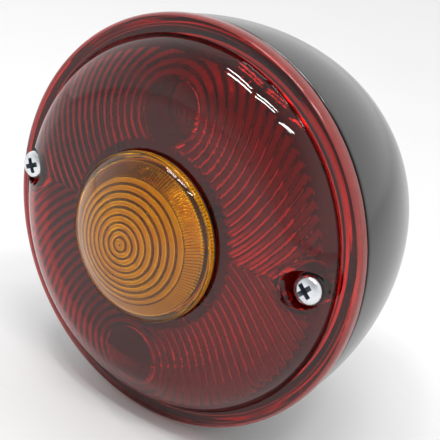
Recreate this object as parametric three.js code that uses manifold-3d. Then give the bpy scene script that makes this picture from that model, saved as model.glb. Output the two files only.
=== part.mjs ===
// A round trailer tail light: a deep black bowl, a red lens 140 mm across held by two screws, and an
// amber lens in its middle. Inside are a bulb carrier, three bayonet bulbs, a terminal block and leads.
// The lamp faces -Y with +Z up. Its origin is the middle of the flat rear face.
// Depths along the lamp are given as "ahead": millimetres in front of the plane where the lens skirt ends.

import * as THREE from 'three';
import { mergeVertices } from 'three/addons/utils/BufferGeometryUtils.js';
import Module from 'manifold-3d';

// Driving dimensions, in millimetres.
const lensRadius = 70;
const bowlDepth = 80;
const bowlRimRadius = 69.3;
const bowlWall = 2.8;
const floorThickness = 3;
const bowlCurveDepth = 97.6;
const bowlCurvePower = 1.9;
const faceRise = 20.8;
const faceSphereRadius = 420;
const amberRadius = 28.1;
const amberRise = 34.2;
const amberCapRadius = 27.2;
const amberCapAhead = 23;
const screwReach = 57.2;
const screwHeight = 3.1;
const screwSeatAhead = 9.9;
const carrierAhead = -32;
const carrierRadius = 57;
const carrierThickness = 1.2;
const pinAhead = -36;
const pushTravel = 2;
const twistAngle = 20;
const studSpacing = 50;
const studRadius = 3;
const grommetHeight = -24;
const wallGap = 0.3;

// The three bulbs, from top to bottom. The row sits a little low so that the lens fits only one way up.
const bulbs = [
  { name: 'stop', height: 40.9, bulge: 13.2, tipAhead: 9, filamentAhead: -4.2 },
  { name: 'indicator', height: 0, bulge: 13.2, tipAhead: 9, filamentAhead: -4.2 },
  { name: 'tail', height: -44.3, bulge: 9.5, tipAhead: -6, filamentAhead: -17 },
];
const sides = [
  { name: 'left', sign: -1 },
  { name: 'right', sign: 1 },
];

const wasm = await Module();
wasm.setup();

// Joined and cut solids.

function solid(geometry) {
  const bare = geometry.clone();
  bare.deleteAttribute('normal');
  bare.deleteAttribute('uv');
  const merged = mergeVertices(bare, 1e-4);
  const index = merged.index.array;
  const corners = [];
  for (let i = 0; i < index.length; i += 3) {
    const [a, b, c] = [index[i], index[i + 1], index[i + 2]];
    if (a !== b && b !== c && c !== a) {
      corners.push(a, b, c);
    }
  }
  return new wasm.Manifold(new wasm.Mesh({
    numProp: 3,
    vertProperties: new Float32Array(merged.attributes.position.array),
    triVerts: new Uint32Array(corners),
  }));
}

function geometryOf(shape) {
  const mesh = shape.getMesh();
  const geometry = new THREE.BufferGeometry();
  geometry.setAttribute('position', new THREE.BufferAttribute(mesh.vertProperties, 3));
  geometry.setIndex(new THREE.BufferAttribute(mesh.triVerts, 1));
  geometry.computeVertexNormals();
  return geometry;
}

// A solid turned about the lamp's axis from a list of [radius, ahead] points, given anticlockwise.
function turned(profile, segments, x = 0, z = 0) {
  const points = profile.map(([radius, ahead]) => new THREE.Vector2(radius, -ahead));
  const geometry = new THREE.LatheGeometry(points.reverse(), segments);
  geometry.translate(x, 0, z);
  return solid(geometry);
}

function rod(radius, back, front, segments = 16, x = 0, z = 0) {
  const geometry = new THREE.CylinderGeometry(radius, radius, front - back, segments);
  geometry.translate(x, -(front + back) / 2, z);
  return solid(geometry);
}

function block(width, height, back, front, x = 0, z = 0, turnDegrees = 0) {
  const geometry = new THREE.BoxGeometry(width, front - back, height);
  geometry.translate(x, -(front + back) / 2, z);
  geometry.rotateY(THREE.MathUtils.degToRad(-turnDegrees));
  return solid(geometry);
}

// A round wire or lead of the given radius through a list of [x, ahead, z] points.
function wire(points, radius, steps, corners = 6) {
  const path = new THREE.CatmullRomCurve3(points.map(([x, ahead, z]) => new THREE.Vector3(x, -ahead, z)));
  const ring = [];
  for (let i = 0; i < corners; i += 1) {
    const angle = (i / corners) * 2 * Math.PI;
    ring.push(new THREE.Vector2(radius * Math.cos(angle), radius * Math.sin(angle)));
  }
  return solid(new THREE.ExtrudeGeometry(new THREE.Shape(ring), { steps, extrudePath: path }));
}

// Points along a circular cap of the given sphere, from the edge radius to the axis.
function cap(edgeRadius, sphereRadius, apexAhead, steps) {
  const edgeAngle = Math.asin(edgeRadius / sphereRadius);
  const points = [];
  for (let i = 0; i <= steps; i += 1) {
    const angle = edgeAngle * (1 - i / steps);
    points.push([sphereRadius * Math.sin(angle), apexAhead - sphereRadius * (1 - Math.cos(angle))]);
  }
  points[steps][0] = 0;
  return points;
}

// Points down a bowl wall, from one depth to another.
function bowlCurve(rimRadius, curveDepth, fromDepth, toDepth, steps) {
  const angleAt = (depth) => Math.asin((depth / curveDepth) ** (bowlCurvePower / 2));
  const points = [];
  for (let i = 0; i <= steps; i += 1) {
    const angle = angleAt(fromDepth) + (angleAt(toDepth) - angleAt(fromDepth)) * (i / steps);
    const radius = rimRadius * Math.cos(angle) ** (2 / bowlCurvePower);
    points.push([radius, -curveDepth * Math.sin(angle) ** (2 / bowlCurvePower)]);
  }
  return points;
}

// Materials.

function material(color, roughness, metalness = 0) {
  return new THREE.MeshStandardMaterial({ color, roughness, metalness });
}
const blackPlastic = material(0x17181a, 0.35);
const redAcrylic = material(0x8c1a1a, 0.12);
const amberAcrylic = material(0xd8821c, 0.12);
const zincSteel = material(0xd5d9de, 0.3, 1);
const rubber = material(0x141414, 0.8);
const tinplate = material(0xc4c6c8, 0.35, 1);
const brass = material(0xc9a14a, 0.3, 1);
const glass = material(0xe8eef0, 0.05);
const tungsten = material(0x6d6e70, 0.4, 1);
const phenolic = material(0x5a3620, 0.6);
const springSteel = material(0x9a9da1, 0.35, 1);
const whiteNylon = material(0xe6e3da, 0.55);
const leadColors = {
  stop: material(0xa01818, 0.5),
  indicator: material(0x2f7a35, 0.5),
  tail: material(0x6a4526, 0.5),
  earth: material(0xe9e9e4, 0.5),
};

const lamp = new THREE.Group();
const rimPlane = new THREE.Group();
rimPlane.position.y = -bowlDepth;
lamp.add(rimPlane);

function part(name, shape, finish, x = 0, z = 0) {
  const mesh = new THREE.Mesh(geometryOf(shape), finish);
  mesh.name = name;
  mesh.position.set(x, 0, z);
  rimPlane.add(mesh);
}

// Housing: a moulded bowl with posts for the lens screws and the bulb carrier, pockets for the
// mounting studs and a hole for the cable grommet.

const roundSegments = 44;
const sealSeatDepth = 2.4;
const lensPostRadius = 5.2;
const lensPostTop = -0.9;
const carrierPosts = [[-30, 22], [30, -22]];
const carrierBack = carrierAhead - carrierThickness;
const floorAhead = -bowlDepth + floorThickness;
const studHeadRadius = 5.77;

function housingBowl() {
  const outer = [
    [0, -bowlDepth],
    ...bowlCurve(bowlRimRadius, bowlCurveDepth, sealSeatDepth, bowlDepth, 7).reverse(),
    [0, -sealSeatDepth],
  ];
  const innerCurveDepth = bowlCurveDepth - floorThickness - 0.6;
  const inner = [
    [0, floorAhead],
    ...bowlCurve(bowlRimRadius - bowlWall, innerCurveDepth, sealSeatDepth, -floorAhead, 6).reverse(),
    [bowlRimRadius - bowlWall, 1],
    [0, 1],
  ];
  const envelope = turned([...outer.slice(0, -1), [bowlRimRadius, 1], [0, 1]], roundSegments);
  let bowl = turned(outer, roundSegments).subtract(turned(inner, roundSegments));
  for (const { sign } of sides) {
    const x = sign * screwReach;
    const webLength = bowlRimRadius - screwReach;
    const post = rod(lensPostRadius, -42, lensPostTop, 16, x, screwHeight)
      .add(block(webLength, 3, -40, -3.2, x + sign * webLength / 2, screwHeight));
    bowl = bowl.add(post.intersect(envelope));
    bowl = bowl.add(rod(8.2, floorAhead - 1, floorAhead + 3, 16, sign * studSpacing / 2));
  }
  for (const [x, z] of carrierPosts) {
    bowl = bowl.add(rod(4.6, floorAhead - 1, carrierBack - wallGap, 12, x, z).intersect(envelope));
    bowl = bowl.subtract(rod(2.2, carrierBack - 13, carrierBack, 10, x, z));
  }
  for (const { sign } of sides) {
    bowl = bowl.subtract(rod(2.8, -18, 1, 12, sign * screwReach, screwHeight));
    bowl = bowl.subtract(rod(studHeadRadius + 0.4, floorAhead, floorAhead + 4, 6, sign * studSpacing / 2));
    bowl = bowl.subtract(rod(studRadius + 0.3, -bowlDepth - 1, floorAhead + 1, 16, sign * studSpacing / 2));
  }
  return bowl.subtract(rod(6, -bowlDepth - 1, floorAhead + 1, 16, 0, grommetHeight));
}
part('housing_bowl', housingBowl(), blackPlastic);

part('lens_seal', turned([
  [66.4, -sealSeatDepth + wallGap],
  [68.9, -sealSeatDepth + wallGap],
  [68.9, -wallGap],
  [66.4, -wallGap],
  [66.4, -sealSeatDepth + wallGap],
], roundSegments), rubber);

// Red lens: a skirt and flange, a raised dish with a rounded shoulder, a spigot that drops inside the
// bowl, two screw recesses with bosses behind them, and a stepped hole for the amber lens.

const amberHoleRadius = 25.2;
const amberSeatAhead = 18.9;
const faceAhead = (radius) => faceRise - radius * radius / (2 * faceSphereRadius);

function redLens() {
  const front = [
    [62.7, 7.6],
    [61.4, 9.4],
    [59.8, 11.2],
    [57.6, 13.3],
    [54.6, 15.3],
    [50, faceAhead(50) - 0.4],
    [42, faceAhead(42)],
    [amberRadius + 0.3, faceAhead(amberRadius)],
  ];
  const skirt = [
    [lensRadius, 0],
    [lensRadius, 3],
    [69.3, 4.5],
    [67.6, 5.2],
    [63.4, 5.3],
  ];
  const dish = turned([
    [amberHoleRadius, 17],
    [31, 16.9],
    [45, 15.4],
    [52.6, 13],
    [57, 10.2],
    [60, 6.8],
    [63.4, 2.6],
    [64.2, -2.6],
    [65.9, -2.6],
    [65.9, 0],
    ...skirt,
    ...front,
    [amberRadius + 0.3, amberSeatAhead],
    [amberHoleRadius, amberSeatAhead],
    [amberHoleRadius, 17],
  ], roundSegments);
  const envelope = turned([[0, 0], ...skirt, ...front, [0, faceRise]], roundSegments);
  const recessTop = 18;
  let lens = dish;
  for (const { sign } of sides) {
    const x = sign * screwReach;
    const cup = turned([[0, 7.3], [8.6, 7.3], [10.4, recessTop], [0, recessTop]], 20, x, screwHeight);
    lens = lens.add(cup.intersect(envelope));
  }
  for (const { sign } of sides) {
    const x = sign * screwReach;
    const recess = turned([
      [0, screwSeatAhead],
      [6.4, screwSeatAhead],
      [8.3, recessTop],
      [0, recessTop],
    ], 20, x, screwHeight);
    lens = lens.subtract(recess);
    lens = lens.add(rod(5.2, -0.6, 8, 16, x, screwHeight));
    lens = lens.subtract(rod(2.8, -1, recessTop, 12, x, screwHeight));
  }
  return lens;
}
part('red_lens', redLens(), redAcrylic);

// Amber lens: a shallow dome on a flange, with a spigot through the hole in the red lens.

const amberSpigotRadius = 24.8;
const amberInnerRadius = 22.6;
const amberCapHeight = amberRise - amberCapAhead;
const amberSphereRadius = (amberCapRadius ** 2 + amberCapHeight ** 2) / (2 * amberCapHeight);

function amberLens() {
  const flangeBack = 20.4;
  const innerRise = amberRise - 2.6;
  return turned([
    ...cap(amberInnerRadius, amberSphereRadius - 2.6, innerRise, 5).reverse(),
    [amberInnerRadius, 15.2],
    [amberSpigotRadius, 15.2],
    [amberSpigotRadius, flangeBack],
    [amberRadius, flangeBack],
    [amberRadius, 22.2],
    [27.5, 22.5],
    ...cap(amberCapRadius, amberSphereRadius, amberRise, 7),
  ], 36);
}
part('amber_lens', amberLens(), amberAcrylic);

part('amber_seal', turned([
  [amberHoleRadius + 0.2, amberSeatAhead + 0.2],
  [amberRadius - 0.2, amberSeatAhead + 0.2],
  [amberRadius - 0.2, 20.2],
  [amberHoleRadius + 0.2, 20.2],
  [amberHoleRadius + 0.2, amberSeatAhead + 0.2],
], 32), rubber);

// Lens screws: self-tapping pan heads with a cross recess, each on a rubber sealing washer.

const screwHeadBack = screwSeatAhead + 1.1;
const screwHeadRise = 3.1;

function crossRecess(length, width, back, front) {
  return block(length, width, back, front).add(block(width, length, back, front));
}

for (const { name, sign } of sides) {
  part(`screw_seal_${name}`, turned([
    [2.75, screwSeatAhead + 0.15],
    [4.6, screwSeatAhead + 0.15],
    [4.6, screwHeadBack - 0.15],
    [2.75, screwHeadBack - 0.15],
    [2.75, screwSeatAhead + 0.15],
  ], 16), rubber, sign * screwReach, screwHeight);
  const body = turned([
    [0, -13],
    [2.35, -9],
    [2.35, screwHeadBack],
    [4.7, screwHeadBack],
    [4.75, screwHeadBack + 1],
    [3.9, screwHeadBack + 2.2],
    [2.2, screwHeadBack + 2.95],
    [0, screwHeadBack + screwHeadRise],
  ], 16);
  const recess = crossRecess(5, 1.2, screwHeadBack + 0.9, screwHeadBack + 4);
  part(`lens_screw_${name}`, body.subtract(recess), zincSteel, sign * screwReach, screwHeight);
}

// Bulb carrier: a pressed tinplate dish that holds the three bulb holders and makes the earth return.

const holderHoleRadius = 9;

function carrierPlate() {
  const lipBack = -36;
  let plate = turned([
    [0, carrierBack],
    [carrierRadius - 1.1, carrierBack],
    [carrierRadius - 1.1, lipBack],
    [carrierRadius, lipBack],
    [carrierRadius, carrierAhead - 0.8],
    [carrierRadius - 0.8, carrierAhead],
    [0, carrierAhead],
  ], 36);
  for (const { height } of bulbs) {
    plate = plate.subtract(rod(holderHoleRadius, lipBack - 1, 0, 16, 0, height));
  }
  for (const { sign } of sides) {
    plate = plate.subtract(rod(lensPostRadius + 1, lipBack - 1, 0, 16, sign * screwReach, screwHeight));
    plate = plate.subtract(block(12, 12.4, lipBack - 1, 0, sign * (screwReach + 5), screwHeight));
  }
  for (const [x, z] of carrierPosts) {
    plate = plate.subtract(rod(2.25, lipBack - 1, 0, 10, x, z));
  }
  return plate;
}
part('carrier_plate', carrierPlate(), tinplate);

carrierPosts.forEach(([x, z], i) => {
  const headBack = carrierAhead + 0.15;
  const body = turned([
    [0, headBack - 11],
    [1.85, headBack - 10],
    [1.85, headBack],
    [3.9, headBack],
    [3.9, headBack + 0.9],
    [2.6, headBack + 2.2],
    [0, headBack + 2.5],
  ], 12);
  const recess = crossRecess(4, 1, headBack + 0.9, headBack + 3);
  part(`carrier_screw_${sides[i].name}`, body.subtract(recess), zincSteel, x, z);
});

// Bulb holders: a brass-plated shell with two bayonet slots, and inside it a contact riveted to an
// insulating disc that a coil spring pushes forwards. Each bulb has a cap with two pins, a glass
// envelope open at its neck, and a filament on a glass mount.

const shellMouth = -28;
const shellBack = -52;
const shellRadius = 8.6;
const shellWall = 0.7;
const shellFloor = shellBack + 0.8;
const contactTip = -43.1;
const discFront = -44.2;
const discBack = -45.6;
const contactTail = -54.5;
const slotWidth = 2.6;

function holderShell() {
  const inside = shellRadius - shellWall;
  let shell = turned([
    [2.6, shellBack],
    [shellRadius, shellBack],
    [shellRadius, carrierAhead + 0.3],
    [11.2, carrierAhead + 0.3],
    [11.2, carrierAhead + 1],
    [shellRadius, carrierAhead + 1],
    [shellRadius, shellMouth],
    [inside, shellMouth],
    [inside, shellFloor],
    [2.6, shellFloor],
    [2.6, shellBack],
  ], 16);
  const slotTop = pinAhead + slotWidth / 2;
  const slotBottom = pinAhead - pushTravel - slotWidth / 2;
  const turnWidth = slotWidth + THREE.MathUtils.degToRad(twistAngle) * shellRadius;
  for (const { sign } of sides) {
    const reach = sign * shellRadius;
    shell = shell.subtract(block(4, slotWidth, slotBottom, 0, reach, 0, twistAngle));
    shell = shell.subtract(block(4, turnWidth, slotBottom, slotTop, reach, 0, twistAngle / 2));
  }
  return shell;
}

function contactSpring() {
  const turns = 4;
  const coilRadius = 4.6;
  const wireRadius = 0.3;
  const packedLength = 2.5;
  const points = [];
  for (let i = 0; i <= turns * 8; i += 1) {
    const angle = (i / 8) * 2 * Math.PI;
    const ahead = shellFloor + wireRadius + 0.1 + packedLength * (i / (turns * 8));
    points.push([coilRadius * Math.cos(angle), ahead, coilRadius * Math.sin(angle)]);
  }
  return wire(points, wireRadius, turns * 8, 4);
}

function bulbCap() {
  let shell = turned([
    [0, -42.9],
    [1.5, -42.9],
    [2, -42.1],
    [4.6, -41.6],
    [7.5, -40.6],
    [7.5, -26.8],
    [6.9, -26.8],
    [6.9, -39.6],
    [0, -39.8],
  ], 16);
  for (const { sign } of sides) {
    const pin = new THREE.CylinderGeometry(0.95, 0.95, 1.5, 8);
    pin.rotateZ(Math.PI / 2);
    pin.translate(sign * 7.8, -pinAhead, 0);
    shell = shell.add(solid(pin));
  }
  return shell;
}

function bulbGlass(bulge, tipAhead) {
  const neckBack = -38;
  const neckFront = -27;
  const neckRadius = 6.4;
  const wall = 0.8;
  const length = tipAhead - neckFront;
  const outline = (inset) => [
    [neckRadius - inset, neckBack],
    [neckRadius - inset, neckFront],
    [bulge * 0.8 - inset, neckFront + length * 0.28],
    [bulge - inset, neckFront + length * 0.56],
    [bulge * 0.93 - inset, neckFront + length * 0.77],
    [bulge * 0.66 - inset, neckFront + length * 0.93 - inset],
    [bulge * 0.3, tipAhead - 0.3 - inset],
    [0, tipAhead - inset],
  ];
  return turned([...outline(0), ...outline(wall).reverse(), [neckRadius, neckBack]], 14);
}

function filamentMount(filamentAhead) {
  const stemTop = filamentAhead - 9;
  let mount = turned([
    [0, -38.6],
    [3.4, -38.6],
    [2.2, -33],
    [1.6, stemTop],
    [0, stemTop + 0.6],
  ], 8);
  for (const { sign } of sides) {
    mount = mount.add(wire([
      [sign * 0.8, stemTop - 3, 0],
      [sign * 1.6, stemTop + 2, 0],
      [sign * 3.6, filamentAhead - 1.5, 0],
      [sign * 3.8, filamentAhead + 0.4, 0],
    ], 0.35, 4, 5));
  }
  return mount.add(wire([
    [-3.9, filamentAhead, 0],
    [0, filamentAhead + 0.6, 0],
    [3.9, filamentAhead, 0],
  ], 0.45, 3, 5));
}

for (const { name, height, bulge, tipAhead, filamentAhead } of bulbs) {
  part(`${name}_holder_shell`, holderShell(), tinplate, 0, height);
  part(`${name}_contact_disc`, turned([
    [1.7, discBack],
    [7.5, discBack],
    [7.5, discFront],
    [1.7, discFront],
    [1.7, discBack],
  ], 14), phenolic, 0, height);
  part(`${name}_contact`, turned([
    [0, contactTail],
    [1.4, contactTail],
    [1.4, discFront + 0.1],
    [2.2, discFront + 0.1],
    [1.9, contactTip - 0.3],
    [0, contactTip],
  ], 10), brass, 0, height);
  part(`${name}_contact_spring`, contactSpring(), springSteel, 0, height);
  part(`${name}_bulb_cap`, bulbCap(), brass, 0, height);
  part(`${name}_bulb_glass`, bulbGlass(bulge, tipAhead), glass, 0, height);
  part(`${name}_bulb_filament`, filamentMount(filamentAhead), tungsten, 0, height);
}

// Terminal block on the bowl's floor, with four clamp screws, and the leads to the bulb holders.

const blockBack = floorAhead + 0.3;
const blockFront = blockBack + 10;
const blockHeight = 23;
const blockPitch = 7.5;
const leadAhead = blockBack + 3.6;
const poleAt = (i) => (i - 1.5) * blockPitch;

function terminalBlock() {
  let body = block(4 * blockPitch, 12, blockBack, blockFront);
  for (let i = 0; i < 4; i += 1) {
    body = body.subtract(rod(2.4, blockFront - 4, blockFront + 1, 10, poleAt(i)));
    const entry = new THREE.CylinderGeometry(1.5, 1.5, 14, 8);
    entry.rotateX(Math.PI / 2);
    entry.translate(poleAt(i), -leadAhead, 0);
    body = body.subtract(solid(entry));
  }
  return body;
}
part('terminal_block', terminalBlock(), whiteNylon, 0, blockHeight);

for (let i = 0; i < 4; i += 1) {
  const screw = rod(2, blockFront - 3.8, blockFront - 0.8, 10)
    .subtract(block(6, 0.7, blockFront - 1.8, blockFront));
  part(`terminal_screw_${i + 1}`, screw, zincSteel, poleAt(i), blockHeight);
}

const leadEnd = contactTail - pushTravel - 1;
const leadRadius = 1.1;
const blockTop = blockHeight + 4;
const blockBottom = blockHeight - 4;
const [stop, indicator, tail] = bulbs.map(({ height }) => height);
const leads = {
  stop: [
    [poleAt(1), leadAhead, blockTop],
    [poleAt(1), leadAhead, blockTop + 6],
    [-1.6, leadAhead + 5, stop - 2],
    [0, leadEnd - 5, stop],
    [0, leadEnd, stop],
  ],
  indicator: [
    [poleAt(2), leadAhead, blockBottom],
    [poleAt(2), leadAhead, blockBottom - 6],
    [1.2, leadAhead + 4, indicator + 4],
    [0, leadEnd - 5, indicator],
    [0, leadEnd, indicator],
  ],
  tail: [
    [poleAt(0), leadAhead, blockBottom],
    [poleAt(0), leadAhead, blockBottom - 8],
    [-11, leadAhead + 1, -14],
    [-6, leadAhead + 4, -35],
    [0, leadEnd - 5, tail],
    [0, leadEnd, tail],
  ],
  earth: [
    [poleAt(3), leadAhead, blockBottom],
    [poleAt(3), leadAhead, blockBottom - 5],
    [15, leadAhead + 12, 10],
    [16.5, carrierBack - 10, 9],
    [16.5, carrierBack - wallGap, 9],
  ],
};
for (const [name, route] of Object.entries(leads)) {
  part(`${name}_lead`, wire(route, leadRadius, 12), leadColors[name]);
}

// Rear face: a rubber grommet for the cable, and two mounting studs with spring washers and nuts.

const grommetBore = 3.4;
part('cable_grommet', turned([
  [grommetBore, -bowlDepth - 3],
  [7.2, -bowlDepth - 3],
  [8.2, -bowlDepth - wallGap],
  [5.6, -bowlDepth - wallGap],
  [5.6, floorAhead + wallGap],
  [7.2, floorAhead + wallGap],
  [6.4, floorAhead + 2.2],
  [grommetBore, floorAhead + 2.2],
  [grommetBore, -bowlDepth - 3],
], 16), rubber, 0, grommetHeight);

const studEnd = -bowlDepth - 20;
const washerBack = -bowlDepth - 1.7;
const nutBack = washerBack - 5.2;
for (const { name, sign } of sides) {
  const x = sign * studSpacing / 2;
  const stud = rod(studHeadRadius, floorAhead + wallGap, floorAhead + 3.7, 6)
    .add(turned([
      [0, studEnd],
      [studRadius - 0.7, studEnd],
      [studRadius, studEnd + 0.8],
      [studRadius, floorAhead + 1],
      [0, floorAhead + 1],
    ], 16));
  part(`mounting_stud_${name}`, stud, zincSteel, x);
  const ring = turned([
    [studRadius + 0.25, washerBack],
    [5.2, washerBack],
    [5.2, -bowlDepth - 0.2],
    [studRadius + 0.25, -bowlDepth - 0.2],
    [studRadius + 0.25, washerBack],
  ], 16);
  const split = block(6, 0.8, washerBack - 1, -bowlDepth, 4, 0);
  part(`spring_washer_${name}`, ring.subtract(split), springSteel, x);
  const nut = rod(studHeadRadius, nutBack, washerBack - 0.2, 6)
    .subtract(rod(studRadius + 0.2, nutBack - 1, washerBack + 1, 16));
  part(`stud_nut_${name}`, nut, zincSteel, x);
}

export default lamp;
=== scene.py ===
"""A round trailer tail light: a black bowl, a red lens held by two screws, an amber lens and three bulbs.

The lamp faces -Y with +Z up. Sizes are in millimetres, and "ahead" is the distance in front of the plane
where the red lens's skirt ends. Everything is scaled to metres where a mesh is made.
"""

import math

import bmesh
import bpy
import numpy as np
from mathutils import Matrix, Vector


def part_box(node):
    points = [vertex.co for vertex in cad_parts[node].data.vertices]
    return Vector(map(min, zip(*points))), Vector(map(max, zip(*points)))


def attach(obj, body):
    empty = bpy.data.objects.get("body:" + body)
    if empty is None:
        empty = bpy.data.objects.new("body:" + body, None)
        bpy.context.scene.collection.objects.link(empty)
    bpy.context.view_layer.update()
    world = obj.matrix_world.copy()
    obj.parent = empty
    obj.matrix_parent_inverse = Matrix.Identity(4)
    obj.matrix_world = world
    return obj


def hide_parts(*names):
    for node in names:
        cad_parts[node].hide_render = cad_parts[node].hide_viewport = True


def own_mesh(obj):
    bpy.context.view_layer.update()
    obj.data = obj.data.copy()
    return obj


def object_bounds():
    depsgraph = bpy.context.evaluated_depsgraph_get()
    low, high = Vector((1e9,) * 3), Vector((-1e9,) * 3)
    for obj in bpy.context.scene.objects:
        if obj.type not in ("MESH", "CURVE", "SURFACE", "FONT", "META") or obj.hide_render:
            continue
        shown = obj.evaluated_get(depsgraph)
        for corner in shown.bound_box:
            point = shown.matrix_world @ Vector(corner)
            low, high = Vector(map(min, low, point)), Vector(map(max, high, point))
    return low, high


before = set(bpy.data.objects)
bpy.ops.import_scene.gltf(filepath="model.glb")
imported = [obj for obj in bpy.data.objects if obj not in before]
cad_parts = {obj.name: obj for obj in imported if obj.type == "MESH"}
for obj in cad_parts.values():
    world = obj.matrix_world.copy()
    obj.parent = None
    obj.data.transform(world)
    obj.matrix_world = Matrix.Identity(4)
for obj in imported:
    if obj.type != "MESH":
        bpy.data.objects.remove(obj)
cad_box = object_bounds()


# ---------------------------------------------------------------------------------------------------
# Housing bowl: one moulding in black ABS, glossy outside, with its screw posts, stud pockets and cable
# hole moulded in. The red lens screws down onto its rim, and the vehicle's bracket takes its back.
# ---------------------------------------------------------------------------------------------------
MM = 0.001
BOWL_DEPTH = 80.0
BOWL_RIM_RADIUS = 69.3
BOWL_WALL = 2.8
BOWL_FLOOR_AHEAD = -77.0
BOWL_RIM_AHEAD = -2.4
BOWL_POWER = 1.9
LENS_POST_RADIUS = 5.2
CARRIER_POST_RADIUS = 4.6
STUD_HEAD_RADIUS = 5.77
GROMMET_HOLE_RADIUS = 6.0
CARRIER_BACK = -33.2
BLOCK_FACES = [(0, 1, 2, 3), (7, 6, 5, 4), (0, 4, 5, 1), (1, 5, 6, 2), (2, 6, 7, 3), (3, 7, 4, 0)]


def centre(node):
    """The middle of a node across the lamp, as (x, z) in millimetres."""
    low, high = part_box(node)
    return (low.x + high.x) / 2 / MM, (low.z + high.z) / 2 / MM


def made(name, corners, faces):
    """A closed solid from corner points in millimetres, written as (x, ahead, z)."""
    spots = np.asarray(corners, float).reshape(-1, 3)
    spots = np.column_stack([spots[:, 0], -BOWL_DEPTH - spots[:, 1], spots[:, 2]]) * MM
    mesh = bpy.data.meshes.new(name)
    mesh.from_pydata(spots.tolist(), [], faces)
    work = bmesh.new()
    work.from_mesh(mesh)
    bmesh.ops.remove_doubles(work, verts=work.verts, dist=1e-6)
    bmesh.ops.dissolve_degenerate(work, edges=work.edges, dist=1e-7)
    bmesh.ops.recalc_face_normals(work, faces=work.faces)
    work.to_mesh(mesh)
    work.free()
    piece = bpy.data.objects.new(name, mesh)
    bpy.context.scene.collection.objects.link(piece)
    return piece


def woven(name, radii, aheads, angles, x=0.0, z=0.0):
    """A solid turned about the lamp's axis from one row of radii and aheads for each outline point."""
    rows, columns = radii.shape
    spots = np.stack([x + radii * np.cos(angles), aheads, z + radii * np.sin(angles)], axis=-1)
    pierced = not (np.allclose(radii[0], 0) and np.allclose(radii[-1], 0))
    faces = []
    for i in range(rows if pierced else rows - 1):
        near = i * columns
        far = (i + 1) % rows * columns
        for j in range(columns):
            beside = (j + 1) % columns
            faces.append((near + j, near + beside, far + beside, far + j))
    return made(name, spots, faces)


def turned(name, outline, segments=96, x=0.0, z=0.0, turn=0.0):
    """A solid turned from a list of (radius, ahead) points, either a ring's outline or axis to axis."""
    points = np.array(outline, float)
    angles = np.arange(segments) / segments * 2 * math.pi + math.radians(turn)
    radii = np.repeat(points[:, :1], segments, axis=1)
    aheads = np.repeat(points[:, 1:], segments, axis=1)
    return woven(name, radii, aheads, angles, x, z)


def eased(outline, reach, least_turn=20):
    """The same outline with its sharp corners rounded off."""
    points = [Vector(point) for point in outline]
    result = []
    for i, corner in enumerate(points):
        into = corner - points[i - 1]
        away = points[(i + 1) % len(points)] - corner
        if corner.x < 1e-6 or into.length < 1e-6 or away.length < 1e-6:
            result.append(tuple(corner))
            continue
        if math.degrees(into.angle(away)) < least_turn:
            result.append(tuple(corner))
            continue
        size = min(reach, 0.45 * into.length, 0.45 * away.length)
        start = corner - into.normalized() * size
        end = corner + away.normalized() * size
        for t in (0.0, 0.3, 0.7, 1.0):
            result.append(tuple(start * (1 - t) ** 2 + corner * 2 * t * (1 - t) + end * t * t))
    return result


def rod(name, radius, back, front, segments, x=0.0, z=0.0, reach=0.0, turn=0.0):
    """A solid bar along the lamp's axis, with its edges rounded off when reach is given."""
    outline = [(0, back), (radius, back), (radius, front), (0, front)]
    return turned(name, eased(outline, reach) if reach else outline, segments, x, z, turn)


def block(name, width, height, back, front, x=0.0, z=0.0, turn=0.0, bevel=0.0):
    """A rectangular solid at (x, z), swung about (0, z) by turn degrees."""
    across = width / 2
    up = height / 2
    ends = ((-across, -up), (across, -up), (across, up), (-across, up))
    corners = [(a, ahead, b) for ahead in (back, front) for a, b in ends]
    c, s = math.cos(math.radians(turn)), math.sin(math.radians(turn))
    spots = [(c * (a + x) - s * b, ahead, s * (a + x) + c * b + z) for a, ahead, b in corners]
    piece = made(name, spots, BLOCK_FACES)
    if bevel:
        rounding = piece.modifiers.new("rounding", "BEVEL")
        rounding.width = bevel * MM
        rounding.segments = 3
        settle(piece)
    return piece


def settle(piece):
    """Applies the piece's modifiers to its mesh."""
    shaped = piece.evaluated_get(bpy.context.evaluated_depsgraph_get())
    mesh = bpy.data.meshes.new_from_object(shaped)
    piece.modifiers.clear()
    piece.data = mesh


def worked(piece, operation, *tools):
    """Joins tools to the piece, or cuts them from it, and leaves the tools out of the scene."""
    for tool in tools:
        step = piece.modifiers.new("step", "BOOLEAN")
        step.operation = operation
        step.solver = "MANIFOLD"
        step.object = tool
    settle(piece)
    for tool in tools:
        bpy.data.objects.remove(tool)
    return piece


def smooth(piece, sharpest=35):
    """Smooth shading that keeps edges sharper than the given angle."""
    piece.data.polygons.foreach_set("use_smooth", [True] * len(piece.data.polygons))
    piece.data.set_sharp_from_angle(angle=math.radians(sharpest))
    return piece


def placed(piece, finish, body, slot, *nodes):
    """Gives the piece its finish and its body, and hides the nodes that it stands for. The slot is not used.
    """
    piece.data.materials.clear()
    piece.data.materials.append(finish)
    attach(piece, body)
    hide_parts(*nodes)
    return piece


def surface(material):
    """The shader of a material."""
    return material.node_tree.nodes["Principled BSDF"]


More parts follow.
